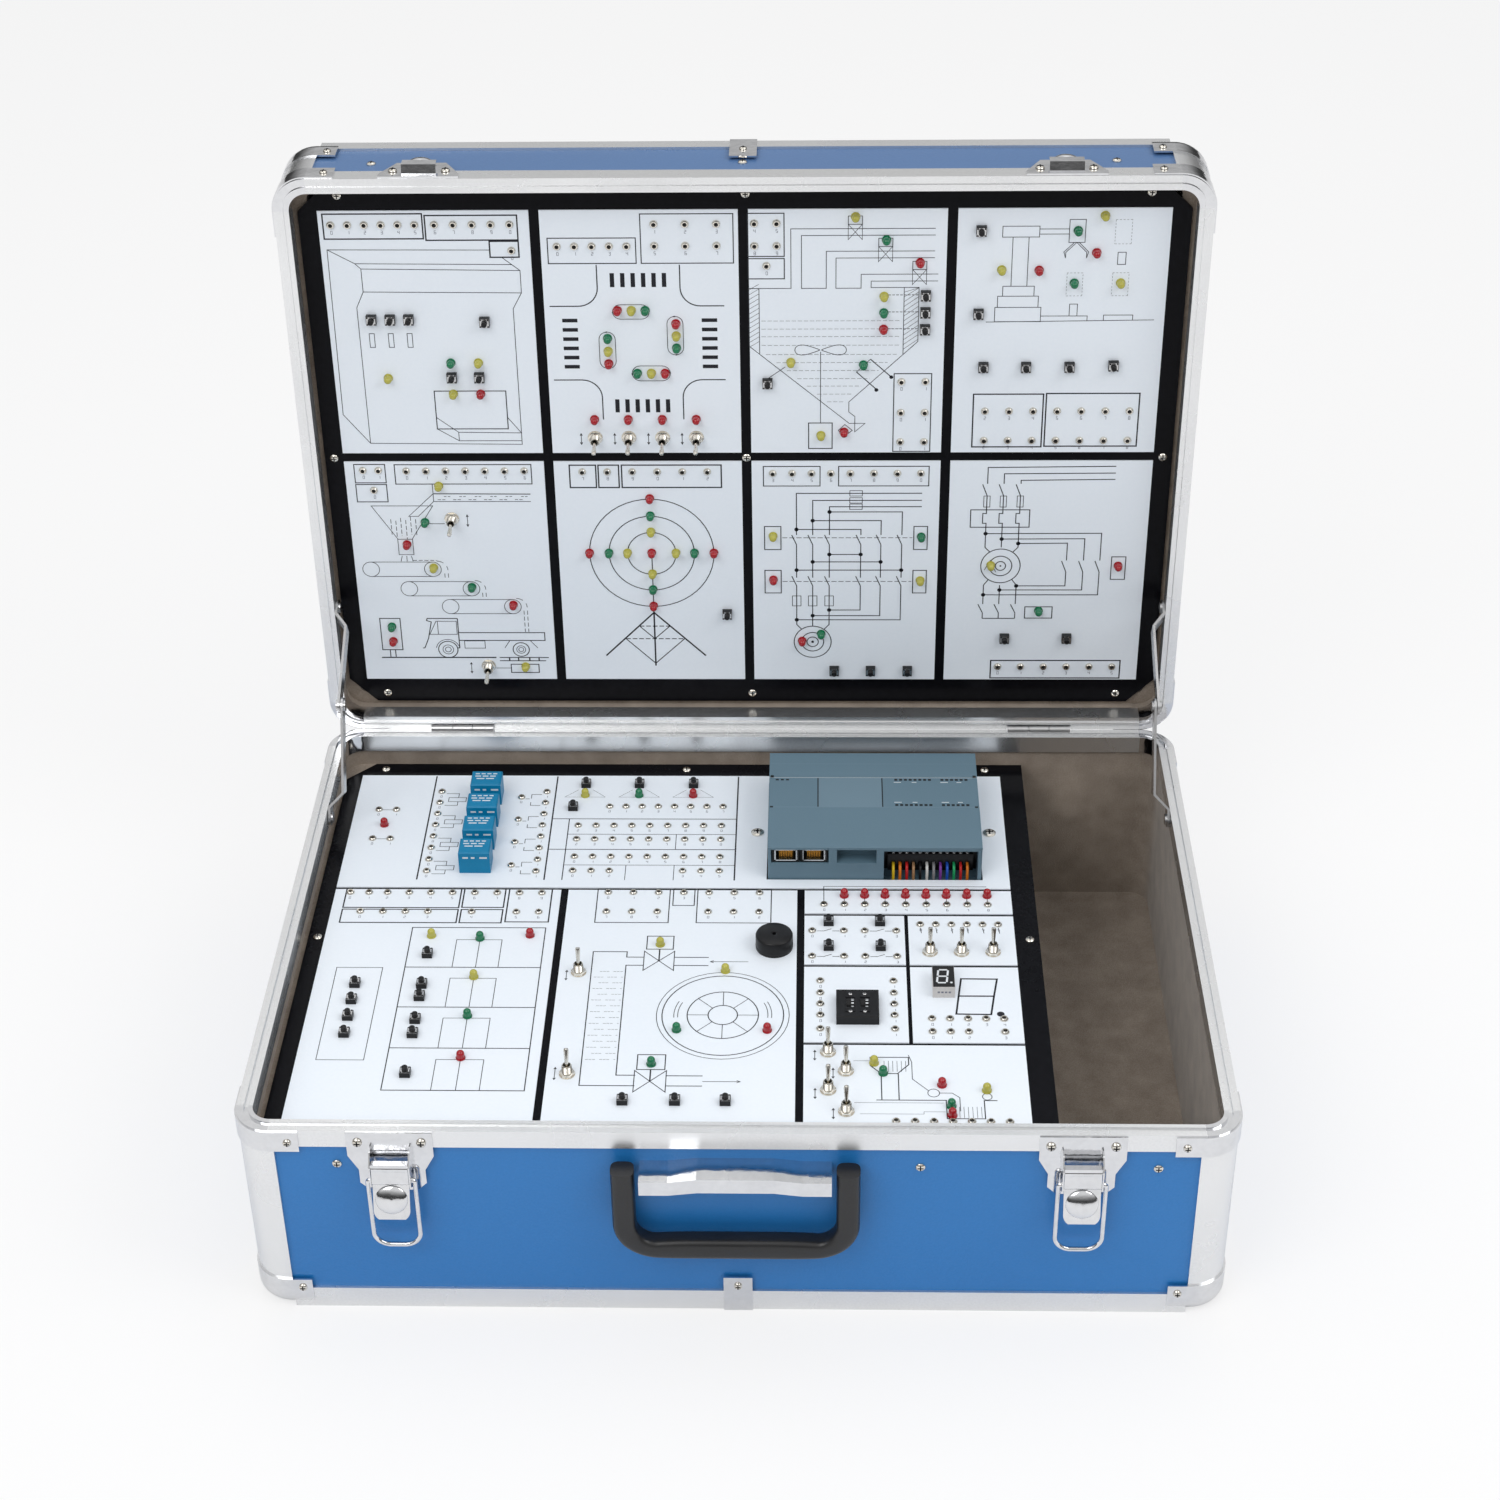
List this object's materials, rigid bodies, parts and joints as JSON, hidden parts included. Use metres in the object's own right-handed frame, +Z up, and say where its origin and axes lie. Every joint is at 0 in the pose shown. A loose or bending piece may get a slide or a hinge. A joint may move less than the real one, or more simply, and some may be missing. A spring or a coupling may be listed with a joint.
{
  "type": "plc training box",
  "caption": "Portable training case for programmable logic control, with a hinged lid and printed practice boards carrying sockets, lamps, switches and a controller.",
  "frame": {"origin": "centre of the case's underside", "axes": "+X to the right seen from the front, +Y to the hinges at the back, +Z up"},
  "size_m": [0.542, 0.4495, 0.5182],
  "materials": {
    "blue_laminate": "fine textured laminate",
    "aluminium": "satin, brushed along the extrusion",
    "chrome": "polished",
    "steel": "zinc plated",
    "felt": "short felt",
    "black_board": "glossy",
    "white_plate": "satin print",
    "nickel": "nickel plated",
    "lens": "coloured lens",
    "black_plastic": "moulded",
    "grey_plastic": "fine moulded texture",
    "relay_blue": "moulded",
    "wires": "coloured insulation"
  },
  "bodies": {
    "base": {"base_panels": "blue_laminate", "base_rim_frame": "aluminium", "base_foot_frame": "aluminium", "base_corner_posts": "aluminium", "base_corner_fittings": "chrome", "base_lining": "felt", "base_board": "black_board", "base_plates": "white_plate", "base_screws": "nickel", "base_sockets": "nickel", "base_leds": "lens", "base_switch_bodies": "black_plastic", "controller_body": "grey_plastic", "controller_covers": "grey_plastic", "controller_ports": "black_plastic", "terminal_wires": "wires", "din_rail": "steel", "relays": "relay_blue", "buzzer": "black_plastic", "digit_display": "black_plastic", "thumbwheel_frame": "black_plastic", "latch_plates": "chrome", "handle_bracket": "chrome", "hinge_base_leaves": "steel"},
    "lid": {"lid_panels": "blue_laminate", "lid_rim_frame": "aluminium", "lid_edge_frame": "aluminium", "lid_corner_posts": "aluminium", "lid_corner_fittings": "chrome", "lid_lining": "felt", "lid_board": "black_board", "lid_plates": "white_plate", "lid_screws": "nickel", "lid_sockets": "nickel", "lid_leds": "lens", "lid_switch_bodies": "black_plastic", "lid_catches": "chrome", "hinge_lid_leaves": "steel"},
    "handle_grip": {"handle_grip": "black_plastic"},
    "latch_lever_left": {"latch_lever_left": "chrome"},
    "latch_lever_right": {"latch_lever_right": "chrome"},
    "latch_bail_left": {"latch_bail_left": "chrome"},
    "latch_bail_right": {"latch_bail_right": "chrome"},
    "stay_upper_links": {"stay_upper_links": "steel"},
    "stay_lower_links": {"stay_lower_links": "steel"},
    "thumbwheel_left": {"thumbwheel_left": "black_plastic"},
    "thumbwheel_right": {"thumbwheel_right": "black_plastic"},
    "base_button_caps": {"base_button_caps": "black_plastic"},
    "lid_button_caps": {"lid_button_caps": "black_plastic"},
    "input_toggle_levers": {"input_toggle_levers": "nickel"},
    "wash_toggle_lever_1": {"wash_toggle_lever_1": "nickel"},
    "wash_toggle_lever_2": {"wash_toggle_lever_2": "nickel"},
    "tower_toggle_lever_1": {"tower_toggle_lever_1": "nickel"},
    "tower_toggle_lever_2": {"tower_toggle_lever_2": "nickel"},
    "tower_toggle_lever_3": {"tower_toggle_lever_3": "nickel"},
    "tower_toggle_lever_4": {"tower_toggle_lever_4": "nickel"},
    "crossing_toggle_levers": {"crossing_toggle_levers": "nickel"},
    "feed_toggle_lever_1": {"feed_toggle_lever_1": "nickel"},
    "feed_toggle_lever_2": {"feed_toggle_lever_2": "nickel"}
  },
  "joints": [
    {"name": "lid_hinge", "type": "hinge", "parent": "base", "child": "lid", "pos_m": [0, 0.19, 0.132], "axis": [1, 0, 0], "range_deg": [0, 90]},
    {"name": "stay_lower_pivot", "type": "hinge", "parent": "base", "child": "stay_lower_links", "pos_m": [0, 0.102, 0.125], "axis": [1, 0, 0], "range_deg": [0, 113.01]},
    {"name": "stay_upper_pivot", "type": "hinge", "parent": "lid", "child": "stay_upper_links", "pos_m": [0, 0.197, 0.22], "axis": [1, 0, 0], "range_deg": [-113.01, 0]},
    {"name": "handle_pivot", "type": "hinge", "parent": "base", "child": "handle_grip", "pos_m": [0, -0.1975, 0.1065], "axis": [1, 0, 0], "range_deg": [-95, 0]},
    {"name": "latch_lever_left_pivot", "type": "hinge", "parent": "base", "child": "latch_lever_left", "pos_m": [-0.185, -0.197, 0.112], "axis": [1, 0, 0], "range_deg": [-100, 0]},
    {"name": "latch_bail_left_pivot", "type": "hinge", "parent": "base", "child": "latch_bail_left", "pos_m": [-0.185, -0.1965, 0.1025], "axis": [1, 0, 0], "range_deg": [-176, 0]},
    {"name": "latch_lever_right_pivot", "type": "hinge", "parent": "base", "child": "latch_lever_right", "pos_m": [0.185, -0.197, 0.112], "axis": [1, 0, 0], "range_deg": [-100, 0]},
    {"name": "latch_bail_right_pivot", "type": "hinge", "parent": "base", "child": "latch_bail_right", "pos_m": [0.185, -0.1965, 0.1025], "axis": [1, 0, 0], "range_deg": [-176, 0]},
    {"name": "thumbwheel_left_turn", "type": "hinge", "parent": "base", "child": "thumbwheel_left", "pos_m": [0.0626, -0.066, 0.1168], "axis": [1, 0, 0], "continuous": true},
    {"name": "thumbwheel_right_turn", "type": "hinge", "parent": "base", "child": "thumbwheel_right", "pos_m": [0.0708, -0.066, 0.1168], "axis": [1, 0, 0], "continuous": true},
    {"name": "base_buttons_press", "type": "slide", "parent": "base", "child": "base_button_caps", "axis": [0, 0, 1], "range_m": [-0.0003, 0], "stiffness_N_per_m": 2000},
    {"name": "lid_buttons_press", "type": "slide", "parent": "lid", "child": "lid_button_caps", "axis": [0, -1, 0], "range_m": [-0.0003, 0], "stiffness_N_per_m": 2000},
    {"name": "input_toggle_levers_tilt", "type": "hinge", "parent": "base", "child": "input_toggle_levers", "pos_m": [0.1283, -0.0131, 0.1165], "axis": [1, 0, 0], "range_deg": [0, 24]},
    {"name": "wash_toggle_lever_1_tilt", "type": "hinge", "parent": "base", "child": "wash_toggle_lever_1", "pos_m": [-0.0956, -0.033, 0.1165], "axis": [1, 0, 0], "range_deg": [0, 24]},
    {"name": "wash_toggle_lever_2_tilt", "type": "hinge", "parent": "base", "child": "wash_toggle_lever_2", "pos_m": [-0.0956, -0.1217, 0.1165], "axis": [1, 0, 0], "range_deg": [0, 24]},
    {"name": "tower_toggle_lever_1_tilt", "type": "hinge", "parent": "base", "child": "tower_toggle_lever_1", "pos_m": [0.0497, -0.1023, 0.1165], "axis": [1, 0, 0], "range_deg": [0, 24]},
    {"name": "tower_toggle_lever_2_tilt", "type": "hinge", "parent": "base", "child": "tower_toggle_lever_2", "pos_m": [0.0596, -0.1182, 0.1165], "axis": [1, 0, 0], "range_deg": [0, 24]},
    {"name": "tower_toggle_lever_3_tilt", "type": "hinge", "parent": "base", "child": "tower_toggle_lever_3", "pos_m": [0.0497, -0.1339, 0.1165], "axis": [1, 0, 0], "range_deg": [0, 24]},
    {"name": "tower_toggle_lever_4_tilt", "type": "hinge", "parent": "base", "child": "tower_toggle_lever_4", "pos_m": [0.0596, -0.151, 0.1165], "axis": [1, 0, 0], "range_deg": [0, 24]},
    {"name": "crossing_toggle_levers_tilt", "type": "hinge", "parent": "lid", "child": "crossing_toggle_levers", "pos_m": [-0.0613, 0.2015, 0.3366], "axis": [1, 0, 0], "range_deg": [-24, 0]},
    {"name": "feed_toggle_lever_1_tilt", "type": "hinge", "parent": "lid", "child": "feed_toggle_lever_1", "pos_m": [-0.1842, 0.2015, 0.2796], "axis": [1, 0, 0], "range_deg": [-24, 0]},
    {"name": "feed_toggle_lever_2_tilt", "type": "hinge", "parent": "lid", "child": "feed_toggle_lever_2", "pos_m": [-0.1683, 0.2015, 0.1704], "axis": [1, 0, 0], "range_deg": [-24, 0]}
  ],
  "couplings": [
    {"joint": "stay_lower_pivot", "follows": "lid_hinge", "ratio": 1.2556},
    {"joint": "stay_upper_pivot", "follows": "lid_hinge", "ratio": -1.2556}
  ]
}
